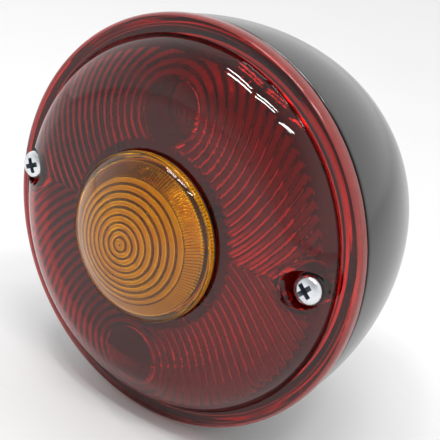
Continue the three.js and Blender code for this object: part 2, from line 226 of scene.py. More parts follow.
def finish(name, dark, light, roughness, metallic=0.0, patch=60.0, grain=900.0, bump=0.02):
    """A finish whose colour and gloss wander between two values in patches, with a fine grain on it."""
    material = bpy.data.materials.new(name)
    material.use_nodes = True
    nodes, links = material.node_tree.nodes, material.node_tree.links
    shader = surface(material)
    shader.inputs["Metallic"].default_value = metallic
    place = nodes.new("ShaderNodeTexCoord")
    patches = nodes.new("ShaderNodeTexNoise")
    patches.inputs["Scale"].default_value = patch
    patches.inputs["Detail"].default_value = 5.0
    links.new(place.outputs["Object"], patches.inputs["Vector"])
    share = nodes.new("ShaderNodeMapRange")
    share.inputs["From Min"].default_value = 0.3
    share.inputs["From Max"].default_value = 0.7
    links.new(patches.outputs["Fac"], share.inputs["Value"])
    tones = nodes.new("ShaderNodeMix")
    tones.data_type = "RGBA"
    tones.inputs[6].default_value = (*dark, 1)
    tones.inputs[7].default_value = (*light, 1)
    links.new(share.outputs["Result"], tones.inputs[0])
    links.new(tones.outputs[2], shader.inputs["Base Color"])
    gloss = nodes.new("ShaderNodeMapRange")
    gloss.inputs["From Min"].default_value = 0.3
    gloss.inputs["From Max"].default_value = 0.7
    gloss.inputs["To Min"].default_value = roughness[0]
    gloss.inputs["To Max"].default_value = roughness[1]
    links.new(patches.outputs["Fac"], gloss.inputs["Value"])
    links.new(gloss.outputs["Result"], shader.inputs["Roughness"])
    fine = nodes.new("ShaderNodeTexNoise")
    fine.inputs["Scale"].default_value = grain
    fine.inputs["Detail"].default_value = 3.0
    links.new(place.outputs["Object"], fine.inputs["Vector"])
    relief = nodes.new("ShaderNodeBump")
    relief.inputs["Strength"].default_value = 1.0
    relief.inputs["Distance"].default_value = bump * MM
    links.new(fine.outputs["Fac"], relief.inputs["Height"])
    links.new(relief.outputs["Normal"], shader.inputs["Normal"])
    return material


def bowl_curve(rim_radius, depth, start, end, steps):
    """Points down the bowl's wall, which is a fattened ellipse, from one depth to another."""
    first, last = (math.asin((deep / depth) ** (BOWL_POWER / 2)) for deep in (start, end))
    points = []
    for i in range(steps + 1):
        angle = first + (last - first) * i / steps
        ahead = -depth * math.sin(angle) ** (2 / BOWL_POWER)
        points.append((rim_radius * math.cos(angle) ** (2 / BOWL_POWER), ahead))
    return points


black_plastic = finish("black ABS", (0.020, 0.021, 0.020), (0.030, 0.031, 0.030), (0.13, 0.21),
                       patch=35, grain=260, bump=0.012)
surface(black_plastic).inputs["Specular IOR Level"].default_value = 0.6

screw_spots = {side: centre(f"lens_screw_{side}") for side in ("left", "right")}
carrier_spots = {side: centre(f"carrier_screw_{side}") for side in ("left", "right")}
stud_spots = {side: centre(f"mounting_stud_{side}") for side in ("left", "right")}
grommet_spot = centre("cable_grommet")

outside = bowl_curve(BOWL_RIM_RADIUS, 97.6, -BOWL_RIM_AHEAD, BOWL_DEPTH, 56)
inside = bowl_curve(BOWL_RIM_RADIUS - BOWL_WALL, 94.0, -BOWL_RIM_AHEAD, -BOWL_FLOOR_AHEAD, 40)
wall = eased([(0, -BOWL_DEPTH), *outside[::-1], *inside, (0, BOWL_FLOOR_AHEAD)], 0.5, 25)
bowl = turned("bowl", wall, 256)
filling = [(0, -BOWL_DEPTH + 1)]
filling += bowl_curve(BOWL_RIM_RADIUS - 0.8, 97.0, 0.5, BOWL_DEPTH - 1, 40)[::-1]
filling.append((0, -0.5))
for x, z in screw_spots.values():
    outwards = math.copysign(1, x)
    web_length = BOWL_RIM_RADIUS - abs(x)
    post = rod("post", LENS_POST_RADIUS, -42, -0.9, 48, x, z, 0.4)
    web = block("web", web_length, 3, -40, -3.2, x + outwards * web_length / 2, z, bevel=0.4)
    worked(post, "UNION", web)
    worked(bowl, "UNION", worked(post, "INTERSECT", turned("filling", filling, 192)))
    bore = [(0, -18), (2.6, -18), (2.8, -2), (3.3, 1), (0, 1)]
    worked(bowl, "DIFFERENCE", turned("bore", bore, 32, x, z))
for x, z in carrier_spots.values():
    top = CARRIER_BACK - 0.3
    taper = [(0, -78), (5.4, -78), (CARRIER_POST_RADIUS, top), (0, top)]
    post = turned("post", eased(taper, 0.4), 48, x, z)
    worked(bowl, "UNION", worked(post, "INTERSECT", turned("filling", filling, 192)))
    worked(bowl, "DIFFERENCE", rod("bore", 2.2, CARRIER_BACK - 13, 0, 24, x, z))
for x, z in stud_spots.values():
    worked(bowl, "UNION", rod("boss", 8.2, -78, -74, 48, x, z, 0.5))
    pocket = rod("pocket", STUD_HEAD_RADIUS + 0.4, -77, -70, 6, x, z, turn=30)
    hole = rod("hole", 3.3, -85, -72, 48, x, z)
    worked(bowl, "DIFFERENCE", pocket, hole)
worked(bowl, "DIFFERENCE", rod("hole", GROMMET_HOLE_RADIUS, -85, -72, 64, *grommet_spot))
for turn in (45, 135, 225, 315):
    rib = block("rib", 14, 1.6, -77.5, -71, 29, 0, turn, 0.3)
    worked(bowl, "UNION", rib)
placed(smooth(bowl), black_plastic, "root", "black_housing", "housing_bowl")


# ---------------------------------------------------------------------------------------------------
# Lens seal: a ring of black rubber, nearly square in section, that lies on the bowl's rim. The lens
# skirt squeezes it when the two screws are done up.
# ---------------------------------------------------------------------------------------------------
rubber = finish("black rubber", (0.010, 0.010, 0.010), (0.026, 0.026, 0.025), (0.55, 0.8),
                patch=180, grain=1500, bump=0.03)


def flat_ring(name, inner, outer, back, front, reach, segments, x=0.0, z=0.0):
    """A flat ring with its edges rounded off."""
    outline = [(inner, back), (outer, back), (outer, front), (inner, front)]
    return turned(name, eased(outline, reach), segments, x, z)


seal = flat_ring("rim_seal", 66.4, 68.9, -2.1, -0.3, 0.5, 220)
placed(smooth(seal), rubber, "root", "black_rubber", "lens_seal")


# ---------------------------------------------------------------------------------------------------
# Red lens: a clear red acrylic moulding, smooth outside. Inside it has rings of small ribs about the
# stop bulb and the tail bulb, which meet on the line of the two screws and spread the light. One side
# of each rib and the outer edge of the skirt are satin, and their lighter tones are a painted sheen
# for the light that the ribs and the skirt catch.
# ---------------------------------------------------------------------------------------------------
LENS_SEGMENTS = 560
FACE_RISE = 20.8
FACE_SPHERE_RADIUS = 420.0
RIB_PITCH = 2.9
RIB_DEPTH = 1.15
RIB_LEAN = 0.5
RIB_INNER_RADIUS = 31.2
RIB_OUTER_RADIUS = 58.6
PLAIN_EYE_RADIUS = 10.15
EYE_ACROSS = -0.6
ACRYLIC_IOR = 1.49
SCREW_SEAT_AHEAD = 9.9
BULBS = {"stop": (13.2, 9.0, -4.2), "indicator": (13.2, 9.0, -4.2), "tail": (9.5, -6.0, -17.0)}
bulb_heights = {name: centre(f"{name}_bulb_cap")[1] for name in BULBS}


def face_ahead(radius):
    """The height of the lens's slightly domed face."""
    return FACE_RISE - radius ** 2 / (2 * FACE_SPHERE_RADIUS)


def ribbed_ahead(radius):
    """The height of the lens's inner face, before the ribs stand out of it."""
    return np.interp(radius, (31, 45, 52.6, 57, 59), (16.9, 15.4, 13.0, 10.2, 8.2))


def eye_height(up):
    """The height of the ring centre that the ribs at a height go round."""
    return np.where(up > screw_spots["left"][1], bulb_heights["stop"], bulb_heights["tail"])


def flowing(points, steps):
    """A smooth curve through the points, with the given number of steps between each two."""
    spots = [np.array(point, float) for point in points]
    spots = [2 * spots[0] - spots[1], *spots, 2 * spots[-1] - spots[-2]]
    curve = []
    for a, b, c, d in zip(spots, spots[1:], spots[2:], spots[3:]):
        for i in range(steps):
            t = i / steps
            square = 2 * a - 5 * b + 4 * c - d
            cube = 3 * b - a - 3 * c + d
            curve.append(0.5 * (2 * b + (c - a) * t + square * t * t + cube * t ** 3))
    curve.append(spots[-2])
    return curve


def clear_plastic(name, color, clearness, density, roughness, ripple):
    """Clear tinted acrylic, with a trace of haze and the slight ripple that a moulding has."""
    material = bpy.data.materials.new(name)
    material.use_nodes = True
    nodes, links = material.node_tree.nodes, material.node_tree.links
    shader = surface(material)
    shader.inputs["Base Color"].default_value = (*color, 1)
    shader.inputs["Roughness"].default_value = roughness
    shader.inputs["IOR"].default_value = ACRYLIC_IOR
    shader.inputs["Transmission Weight"].default_value = clearness
    place = nodes.new("ShaderNodeTexCoord")
    waves = nodes.new("ShaderNodeTexNoise")
    waves.inputs["Scale"].default_value = density
    waves.inputs["Detail"].default_value = 2.0
    links.new(place.outputs["Object"], waves.inputs["Vector"])
    relief = nodes.new("ShaderNodeBump")
    relief.inputs["Distance"].default_value = ripple * MM
    links.new(waves.outputs["Fac"], relief.inputs["Height"])
    links.new(relief.outputs["Normal"], shader.inputs["Normal"])
    return material


def satin(name, dark, light, roughness, clearness, patch, grain, bump):
    """Acrylic that lets only part of the light through, in tones lighter than the clear acrylic that paint in
    light the moulding catches.
    """
    material = finish(name, dark, light, roughness, patch=patch, grain=grain, bump=bump)
    surface(material).inputs["Transmission Weight"].default_value = clearness
    surface(material).inputs["IOR"].default_value = ACRYLIC_IOR
    return material


def partly(piece, finish, wanted, x=0.0, z=0.0):
    """Gives another finish to the faces that are wanted by their distance from (x, z), ahead and angle."""
    piece.data.materials.append(finish)
    for face in piece.data.polygons:
        spot = face.center / MM
        across, up = spot.x - x, spot.z - z
        if wanted(math.hypot(across, up), -BOWL_DEPTH - spot.y, math.atan2(up, across)):
            face.material_index = len(piece.data.materials) - 1


red_acrylic = clear_plastic("red acrylic", (0.56, 0.012, 0.010), 0.99, 60, 0.02, 0.04)

skirt = [(65.9, 0), (66.5, 0), (68.1, 1.9), (69.5, 0), (70, 0), (70, 3), (69.3, 4.5), (67.6, 5.2),
         (63.4, 5.3)]
shoulder = [(62.8, 7.0), (61.4, 9.4), (59.8, 11.3), (57.6, 13.3), (54.6, 15.3),
            (50.5, face_ahead(50.5) - 0.5)]
shoulder += [(r, face_ahead(r)) for r in (45, 40, 35, 28.4)]
shoulder = [tuple(point) for point in flowing(shoulder, 4)]
front = [*eased(skirt, 0.7, 12), *shoulder, *eased([(28.4, 18.9), (25.2, 18.9), (25.2, 17)], 0.2)[4:]]
ribbed_radii = np.arange(RIB_INNER_RADIUS + 0.35, RIB_OUTER_RADIUS, 0.4)
back = [(RIB_OUTER_RADIUS + 0.3, 8.1), (60.2, 6.6), (63.4, 2.6), (64.2, -2.6), (65.9, -2.6)]
angles = np.arange(LENS_SEGMENTS) / LENS_SEGMENTS * 2 * math.pi
rows = [*front, (25.2, 17), (RIB_INNER_RADIUS, 16.9), *zip(ribbed_radii, ribbed_ahead(ribbed_radii)), *back]
radii = np.repeat(np.array(rows)[:, :1], LENS_SEGMENTS, axis=1)
aheads = np.repeat(np.array(rows)[:, 1:], LENS_SEGMENTS, axis=1)
across, up = radii * np.cos(angles), radii * np.sin(angles)
over_eye = up - eye_height(up)
from_eye = np.hypot(across - EYE_ACROSS, over_eye)
share = (from_eye / RIB_PITCH) % 1.0
ribs = RIB_DEPTH * np.minimum(share / RIB_LEAN, (1 - share) / (1 - RIB_LEAN))
# The ribs are deepest at the lower right of each ring centre, and deepen away from it.
way_round = np.arctan2(over_eye, across - EYE_ACROSS)
ribs *= (0.68 + 0.32 * np.cos(way_round + 0.7)) * np.interp(from_eye, (25, 50), (1, 1.3))
ribs = np.where(from_eye < PLAIN_EYE_RADIUS, 0.04 * ribs, ribs)
first_rib, last_rib = len(front) + 2, len(front) + 2 + len(ribbed_radii)
aheads[first_rib:last_rib] -= ribs[first_rib:last_rib]
red_lens = woven("ribbed_red_lens", radii, aheads, angles)
for x, z in screw_spots.values():
    cup = turned("cup", eased([(0, 7.3), (8.6, 7.3), (10.4, 18), (0, 18)], 0.5), 64, x, z)
    outer = [point for point in front if point[0] > 40 and point[1] > 2.5]
    skin = [(0, 0), (70, 0), *outer, (0, face_ahead(40))]
    worked(red_lens, "UNION", worked(cup, "INTERSECT", turned("skin", skin, 256)))
for x, z in screw_spots.values():
    recess = [(0, SCREW_SEAT_AHEAD), (5.5, SCREW_SEAT_AHEAD), (5.8, SCREW_SEAT_AHEAD + 0.4), (6.4, 14),
              (7.3, 17), (8.6, 19.5), (0, 19.5)]
    worked(red_lens, "DIFFERENCE", turned("recess", recess, 64, x, z))
    worked(red_lens, "UNION", rod("boss", 5.2, -0.6, 8, 48, x, z, 0.3))
    worked(red_lens, "DIFFERENCE", rod("hole", 2.8, -1, 12, 32, x, z))
placed(smooth(red_lens, 40), red_acrylic, "lens", "red_lens", "red_lens")
# One side of each rib is satin in a lighter red: a painted sheen for the light that the ribs throw back.
satin_red_sheen = satin("satin red acrylic with painted sheen", (0.56, 0.016, 0.012), (0.70, 0.024, 0.018), (0.1, 0.2), 0.6,
                  patch=120, grain=500, bump=0.01)


def is_satin_sheen_rib(radius, ahead, angle):
    """One side of each rib, outside the two plain eyes: the faces that get the satin finish with its painted
    sheen.
    """
    if not RIB_INNER_RADIUS < radius < RIB_OUTER_RADIUS or ahead > ribbed_ahead(radius) + 0.3:
        return False
    across, up = radius * math.cos(angle), radius * math.sin(angle)
    from_eye = math.hypot(across - EYE_ACROSS, up - eye_height(up))
    clear_of_screws = min(math.hypot(across - x, up - z) for x, z in screw_spots.values()) > 10.6
    return clear_of_screws and from_eye > PLAIN_EYE_RADIUS and from_eye / RIB_PITCH % 1 < 0.5


# The satin rib faces take the painted sheen.
partly(red_lens, satin_red_sheen, is_satin_sheen_rib)
# The outer edge of the skirt is satin, and its pink tone is a painted sheen for the light that the skirt
# carries round from behind.
ground_sheen_acrylic = satin("ground red acrylic with painted sheen", (0.44, 0.060, 0.052), (0.56, 0.090, 0.078), (0.12, 0.2), 0.55,
                       patch=120, grain=500, bump=0.01)
partly(red_lens, ground_sheen_acrylic, lambda radius, ahead, angle: radius > 69.1 and -0.1 < ahead < 5.2)


# ---------------------------------------------------------------------------------------------------
# Amber lens: a clear amber acrylic cap bonded through the middle of the red lens on a thin rubber ring.
# It is smooth outside. Inside it has rings on its face and fine flutes round its shoulder. The crest
# of each ring and one side of each flute are satin, in a light gold that is a painted highlight for
# the light the rings and flutes refract.
# ---------------------------------------------------------------------------------------------------
FLUTES = 140
STEPS_PER_FLUTE = 4
AMBER_RISE = 34.2
AMBER_SPHERE_RADIUS = 38.63
AMBER_EDGE_RADIUS = 27.2
RING_PITCH = 2.25
RING_DEPTH = 0.4
FLUTE_DEPTH = 0.45
FLUTE_RISE = 0.55
amber_acrylic = clear_plastic("amber acrylic", (0.99, 0.46, 0.006), 0.98, 120, 0.02, 0.03)


def cap_ahead(radius, sphere, apex):
    """The height of a ball-shaped cap at a radius."""
    return apex - sphere + math.sqrt(sphere ** 2 - radius ** 2)


dome = [(r, cap_ahead(r, AMBER_SPHERE_RADIUS, AMBER_RISE)) for r in np.linspace(AMBER_EDGE_RADIUS, 0, 26)]
rim = eased([(24.8, 15.2), (24.8, 20.4), (28.1, 20.4), (28.1, 22.2), (27.6, 22.7)], 0.3)
ring_radii = np.arange(0, 20.4, 0.2)
ringed = [(r, cap_ahead(r, AMBER_SPHERE_RADIUS - 2.6, AMBER_RISE - 2.7)) for r in ring_radii]
fluted = [(20.6, 25.2), (21.4, 24.6), (22.3, 23.8), (23.2, 22.9), (23.9, 22.1), (24.4, 21.4)]
spigot = [(24.1, 20.8), (22.7, 20.2), (22.5, 17.6), (22.5, 16.2)]
rows = [*ringed, *fluted, *spigot, (22.8, 15.3), *rim, *dome]
columns = FLUTES * STEPS_PER_FLUTE
angles = np.arange(columns) / columns * 2 * math.pi
radii = np.repeat(np.array(rows)[:, :1], columns, axis=1)
aheads = np.repeat(np.array(rows)[:, 1:], columns, axis=1)
ring_rows = len(ringed)
aheads[:ring_rows] -= RING_DEPTH - RING_DEPTH * np.cos(2 * math.pi * ring_radii[:, None] / RING_PITCH)
fluting = np.tile(1 - np.abs(np.arange(STEPS_PER_FLUTE) / STEPS_PER_FLUTE * 2 - 1), FLUTES)
radii[ring_rows:ring_rows + len(fluted)] -= FLUTE_DEPTH * fluting
aheads[ring_rows:ring_rows + len(fluted)] -= FLUTE_RISE * fluting
flange_back = (np.array(rows)[:, 1] == 20.4) & (np.array(rows)[:, 0] > 25)
aheads[flange_back] += 0.4 * fluting
amber_lens = woven("fluted_amber_lens", radii, aheads, angles)
placed(smooth(amber_lens, 40), amber_acrylic, "lens", "amber_lens", "amber_lens")
# The satin faces are a light gold: a painted highlight for the light that the rings and flutes refract.
satin_amber_sheen = satin("satin amber acrylic with painted highlight", (0.94, 0.62, 0.008), (1.0, 0.80, 0.016), (0.08, 0.16), 0.3,
                    patch=200, grain=800, bump=0.008)


def is_satin_sheen(radius, ahead, angle):
    """One side of each flute, and the crest of each ring on the inner face: the faces that get the satin
    finish with its painted highlight.
    """
    if radius < 20.3:
        inner_face = ahead < cap_ahead(radius, AMBER_SPHERE_RADIUS, AMBER_RISE) - 1.5
        return inner_face and 0.22 < radius / RING_PITCH % 1 < 0.78
    return radius < 24.4 and 21.4 < ahead < 25.2 and angle * FLUTES / math.tau % 1 < 0.5


# The satin faces of the amber lens take the painted highlight.
partly(amber_lens, satin_amber_sheen, is_satin_sheen)
ring = flat_ring("amber_ring", 25.4, 27.9, 19.1, 20.2, 0.3, 128)
placed(smooth(ring), rubber, "lens", "black_rubber", "amber_seal")


# ---------------------------------------------------------------------------------------------------
# Lens screws: zinc-plated steel, cold headed with a cross recess and rolled with a coarse thread. Each
# one draws the lens down onto the seal, and stands on a rubber washer that keeps water out of its hole.
# ---------------------------------------------------------------------------------------------------
LENS_SCREW_HEAD_RADIUS = 4.95
LENS_SCREW_TURNS = {"left": 28, "right": 48}
zinc = finish("zinc plate", (0.62, 0.65, 0.69), (0.84, 0.86, 0.88), (0.16, 0.34), 1.0,
              patch=240, grain=1400, bump=0.012)
# The cross recess is painted dark blue-grey: painted shade for the light that cannot reach down into it.
recess_shade = finish("painted recess shade", (0.060, 0.080, 0.110), (0.130, 0.155, 0.195), (0.4, 0.6), 0.6,
                 patch=400, grain=1800, bump=0.01)


def threaded(name, radius, depth, pitch, back, front, x, z, tip):
    """A threaded shank, with the thread cut to a cone over the length of its tip."""
    per_turn, corners = 8, 40
    along = np.arange(back, front + 1e-6, pitch / per_turn)
    angles = np.arange(corners) / corners * 2 * math.pi
    phase = (along[:, None] / pitch + angles[None, :] / (2 * math.pi)) % 1.0
    radii = radius - depth * np.abs(2 * phase - 1)
    radii = np.minimum(radii, 0.25 * radius + (along[:, None] - back) / tip * radius)
    fade = np.clip((front - along[:, None]) / pitch, 0, 1)
    radii = radii * fade + (radius - depth) * (1 - fade)
    aheads = np.repeat(along[:, None], corners, axis=1)
    radii = np.vstack([np.zeros(corners), radii, np.zeros(corners)])
    aheads = np.vstack([aheads[:1], aheads, aheads[-1:]])
    return woven(name, radii, aheads, angles, x, z)


def cross_recess(size, back, front, x, z, turn):
    """The tapered cross that a driver fits."""
    wings = []
    for quarter in (0, 90):
        angle = math.radians(turn + quarter)
        c, s = math.cos(angle), math.sin(angle)
        corners = []
        for ahead, long, wide in ((back, 0.2 * size, 0.12 * size), (front, 0.52 * size, 0.15 * size)):
            for a, b in ((-long, -wide), (long, -wide), (long, wide), (-long, wide)):
                corners.append((x + c * a - s * b, ahead, z + s * a + c * b))
        wings.append(made("wing", corners, BLOCK_FACES))
    return worked(wings[0], "UNION", wings[1])


def pan_screw(name, head_radius, head_back, head_rise, shank, pitch, tip_ahead, x, z, turn):
    """A pan-head screw with its thread."""
    head = [(0, head_back - 0.4), (shank, head_back - 0.4), (shank, head_back),
            (head_radius - 0.15, head_back)]
    for t in np.linspace(0.1, 1, 9):
        swing = t * math.pi / 2
        ahead = head_back + 0.25 + (head_rise - 0.25) * math.sin(swing) ** 0.8
        head.append((head_radius * math.cos(swing) ** 0.62, ahead))
    head[-1] = (0, head_back + head_rise)
    screw = turned(name, eased(head, 0.15, 40), 64, x, z)
    worked(screw, "UNION", threaded("thread", shank, 0.45, pitch, tip_ahead, head_back - 0.1, x, z, 4))
    cross = cross_recess(head_radius * 1.12, head_back + 0.5, head_back + head_rise + 0.2, x, z, turn)
    return worked(screw, "DIFFERENCE", cross)


for side, (x, z) in screw_spots.items():
    washer = flat_ring(f"screw_washer_{side}", 2.75, 5.2, 10.05, 10.85, 0.3, 64, x, z)
    placed(smooth(washer), rubber, f"screw_seal_{side}", "black_rubber", f"screw_seal_{side}")
    screw = pan_screw(f"cross_screw_{side}", LENS_SCREW_HEAD_RADIUS, 11.0, 3.1, 2.35, 1.6, -13.0, x, z,
                      LENS_SCREW_TURNS[side])
    placed(smooth(screw), zinc, f"lens_screw_{side}", "zinc_screw", f"lens_screw_{side}")
    # The faces inside the cross recess take the painted shade.
    partly(screw, recess_shade, lambda radius, ahead, angle: radius < 3.0 and 11.2 < ahead < 13.7, x, z)


# ---------------------------------------------------------------------------------------------------
# Bulb carrier: a dish pressed from tinned steel sheet, with a lip, a bead round it, three bulb holes
# and two slots. Two screws hold it on the bowl's posts, and it is the earth return of the bulbs.
# ---------------------------------------------------------------------------------------------------
tinned = finish("tinned steel", (0.13, 0.13, 0.14), (0.20, 0.20, 0.21), (0.28, 0.42), 1.0,
                patch=90, grain=700, bump=0.02)
sheet = [(0, CARRIER_BACK), (49.5, CARRIER_BACK), (50.5, -32.4), (52, -32.4), (53, CARRIER_BACK),
         (55.9, CARRIER_BACK), (55.9, -36), (57, -36), (57, -33.0), (56.2, -32), (53.6, -32), (52.6, -31.3),
         (49.9, -31.3), (48.9, -32), (0, -32)]
carrier = turned("pressed_carrier", eased(sheet, 0.5, 15), 192)
cutters = [rod("hole", 9, -40, -20, 64, 0, height) for height in bulb_heights.values()]
for x, z in screw_spots.values():
    cutters.append(rod("notch", 6.2, -40, -20, 48, x, z))
    cutters.append(block("notch", 12, 12.4, -40, -20, x + math.copysign(5, x), z))
for x, z in carrier_spots.values():
    cutters.append(rod("hole", 2.25, -40, -20, 32, x, z))
for turn in (40, 220):
    cutters.append(block("slot", 10, 3.4, -40, -20, 38, 0, turn, 1.5))
worked(carrier, "DIFFERENCE", *cutters)
placed(smooth(carrier), tinned, "root", "tinplate", "carrier_plate")
for side, (x, z) in carrier_spots.items():
    screw = pan_screw(f"plate_screw_{side}", 3.9, -31.85, 2.5, 1.85, 1.4, -42.8, x, z, 20)
    placed(smooth(screw), zinc, "root", "zinc_screw", f"carrier_screw_{side}")
    # The faces inside the cross recess take the painted shade.
    partly(screw, recess_shade, lambda radius, ahead, angle: radius < 2.4 and -31.6 < ahead < -29.7, x, z)


# ---------------------------------------------------------------------------------------------------
# Bulb holders: each is a drawn tinplate shell with a flange on the carrier and two bayonet slots. In it
# a brass contact is riveted to a brown board disc, and a steel coil spring pushes the disc forwards.
# ---------------------------------------------------------------------------------------------------
SHELL_RADIUS = 8.6
PIN_AHEAD = -36.0
TWIST = 20
SLOT = 2.6
brass = finish("brass", (0.62, 0.40, 0.13), (0.80, 0.58, 0.24), (0.2, 0.4), 1.0,
               patch=150, grain=900, bump=0.01)
board = finish("brown board", (0.16, 0.07, 0.03), (0.30, 0.15, 0.06), (0.45, 0.6),
               patch=300, grain=1600, bump=0.03)
spring_steel = finish("spring steel", (0.40, 0.41, 0.43), (0.60, 0.61, 0.64), (0.2, 0.35), 1.0,
                      patch=300, grain=1200, bump=0.01)


def wire(name, points, radius, corners=12):
    """A round wire through (x, ahead, z) points, closed at both ends."""
    path = np.array(points, float)
    along = np.gradient(path, axis=0)
    along /= np.linalg.norm(along, axis=1)[:, None]
    side = np.cross(along[0], (0.31, 0.52, 0.79))
    spots, faces = [], []
    for i, (spot, ahead) in enumerate(zip(path, along)):
        side = side - ahead * side.dot(ahead)
        side /= np.linalg.norm(side)
        other = np.cross(ahead, side)
        for j in range(corners):
            angle = j / corners * 2 * math.pi
            spots.append(spot + radius * (side * math.cos(angle) + other * math.sin(angle)))
        if i:
            near = (i - 1) * corners
            far = i * corners
            for j in range(corners):
                k = (j + 1) % corners
                faces.append((near + j, near + k, far + k, far + j))
    faces.append(tuple(range(corners)))
    faces.append(tuple((len(path) - 1) * corners + j for j in reversed(range(corners))))
    return made(name, spots, faces)


def coil(radius, turns, back, front, x, z, steps=20):
    """Points of a coil along the lamp's axis, with its end turns closed up."""
    count = int(turns * steps)
    points = []
    for i in range(count + 1):
        share = i / count
        closed = share * share * (3 - 2 * share)
        angle = i / steps * 2 * math.pi
        ahead = back + (front - back) * closed
        points.append((x + radius * math.cos(angle), ahead, z + radius * math.sin(angle)))
    return points


for name, height in bulb_heights.items():
    outline = [(2.6, -52), (SHELL_RADIUS, -52), (SHELL_RADIUS, -31.7), (11.2, -31.7), (11.2, -31),
               (SHELL_RADIUS, -31), (SHELL_RADIUS, -28), (7.9, -28), (7.9, -51.2), (2.6, -51.2)]
    shell = turned(f"{name}_holder", eased(outline, 0.3), 72, 0, height)
    deep = PIN_AHEAD - 2 - SLOT / 2
    wide = SLOT + math.radians(TWIST) * SHELL_RADIUS
    slots = []
    for reach in (-SHELL_RADIUS, SHELL_RADIUS):
        slots.append(block("slot", 4, SLOT, deep, 0, reach, height, TWIST))
        slots.append(block("slot", 4, wide, deep, PIN_AHEAD + SLOT / 2, reach, height, TWIST / 2))
    worked(shell, "DIFFERENCE", *slots)
    placed(smooth(shell), tinned, "root", "tinplate", f"{name}_holder_shell")
    disc = flat_ring(f"{name}_board", 1.7, 7.5, -45.6, -44.2, 0.25, 56, 0, height)
    placed(smooth(disc), board, f"{name}_contact", "insulating_board", f"{name}_contact_disc")
    stud = [(0, -54.5), (1.4, -54.5), (1.4, -44.1), (2.2, -44.1), (2.15, -43.6), (1.5, -43.2), (0, -43.1)]
    contact = turned(f"{name}_rivet", eased(stud, 0.2), 40, 0, height)
    placed(smooth(contact), brass, f"{name}_contact", "cap_brass", f"{name}_contact")
    spring = wire(f"{name}_spring", coil(4.6, 4.5, -50.8, -46.0, 0, height), 0.3)
    placed(smooth(spring, 60), spring_steel, "root", "spring_steel", f"{name}_contact_spring")
    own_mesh(spring)


# ---------------------------------------------------------------------------------------------------
# Bulbs: a clear blown glass envelope cemented into a drawn brass cap with two bayonet pins and a solder
# pip, and inside it a glass stem that carries a coiled tungsten filament on two nickel wires.
# ---------------------------------------------------------------------------------------------------
NECK_RADIUS = 6.4
NECK_AHEAD = -27.0
bulb_glass = clear_plastic("bulb glass", (0.96, 0.98, 0.98), 1.0, 90, 0.0, 0.02)
surface(bulb_glass).inputs["IOR"].default_value = 1.5
filament_metal = finish("filament metal", (0.22, 0.22, 0.23), (0.42, 0.42, 0.43), (0.3, 0.5), 1.0,
                        patch=400, grain=2000, bump=0.005)

for name, (bulge, tip_ahead, filament_ahead) in BULBS.items():
    height = bulb_heights[name]
    body = f"{name}_bulb"
    cap = [(0, -42.9), (1.3, -42.85), (1.7, -42.5), (2, -42.1), (4.6, -41.6), (7.2, -40.9), (7.5, -40.4),
           (7.5, -37.6), (7.35, -37.3), (7.35, -34.9), (7.5, -34.6), (7.5, -27.4), (7.3, -26.8),
           (6.9, -26.8), (6.9, -39.6), (0, -39.8)]
    shell = turned(f"{name}_cap", eased(cap, 0.25), 80, 0, height)
    for outwards in (-1, 1):
        pin = []
        for radius, reach in [(0, 7.1), (0.95, 7.1), (0.95, 8.3), (0.7, 8.55), (0, 8.55)]:
            for j in range(20):
                swing = j / 20 * 2 * math.pi
                ahead = PIN_AHEAD + radius * math.cos(swing)
                pin.append((outwards * reach, ahead, height + radius * math.sin(swing)))
        faces = []
        for i in range(4):
            for j in range(20):
                k = (j + 1) % 20
                faces.append((i * 20 + j, i * 20 + k, (i + 1) * 20 + k, (i + 1) * 20 + j))
        worked(shell, "UNION", made("pin", pin, faces))
    placed(smooth(shell), brass, body, "cap_brass", f"{name}_bulb_cap")
    length = tip_ahead - NECK_AHEAD
    shape = [(NECK_RADIUS, -38), (NECK_RADIUS, NECK_AHEAD), (bulge * 0.8, NECK_AHEAD + length * 0.3)]
    middle = tip_ahead - bulge
    for swing in np.radians([-12, 15, 40, 65, 80]):
        shape.append((bulge * math.cos(swing), middle + bulge * math.sin(swing)))
    shape.append((0, tip_ahead))
    outer = [tuple(point) for point in flowing(shape, 7)]
    inner = []
    for r, ahead in outer:
        thinner = 0.6 if ahead > middle else 0.0
        inner.append((max(r - 0.6, 0), ahead - thinner * (ahead - middle) / bulge))
    inner = [point for point in inner if point[0] > 0.3] + [(0, tip_ahead - 0.6)]
    envelope = turned(f"{name}_envelope", [*outer, *inner[::-1]], 96, 0, height)
    placed(smooth(envelope, 60), bulb_glass, body, "bulb_glass", f"{name}_bulb_glass")
    stem_top = filament_ahead - 9
    stem = [(0, -38.6), (3.4, -38.4), (2.6, -35), (1.8, -32), (1.6, stem_top), (0, stem_top + 0.6)]
    mount = turned(f"{name}_mount", flowing(stem, 5), 32, 0, height)
    for outwards in (-1, 1):
        lead = [(outwards * 0.8, stem_top - 3, height),
                (outwards * 1.6, stem_top + 2, height),
                (outwards * 3.6, filament_ahead - 1.5, height),
                (outwards * 3.8, filament_ahead + 0.4, height)]
        worked(mount, "UNION", wire("lead", flowing(lead, 6), 0.3))
    turns, radius = 14, 0.55
    winding = []
    for i in range(turns * 12 + 1):
        share = i / (turns * 12)
        swing = share * turns * 2 * math.pi
        reach = -3.7 + 7.4 * share
        bow = 0.6 * math.sin(share * math.pi)
        ahead = filament_ahead + bow + radius * math.cos(swing)
        winding.append((reach, ahead, height + radius * math.sin(swing)))
    worked(mount, "UNION", wire("winding", winding, 0.13, 6))
    placed(smooth(mount), filament_metal, body, "filament_wire", f"{name}_bulb_filament")


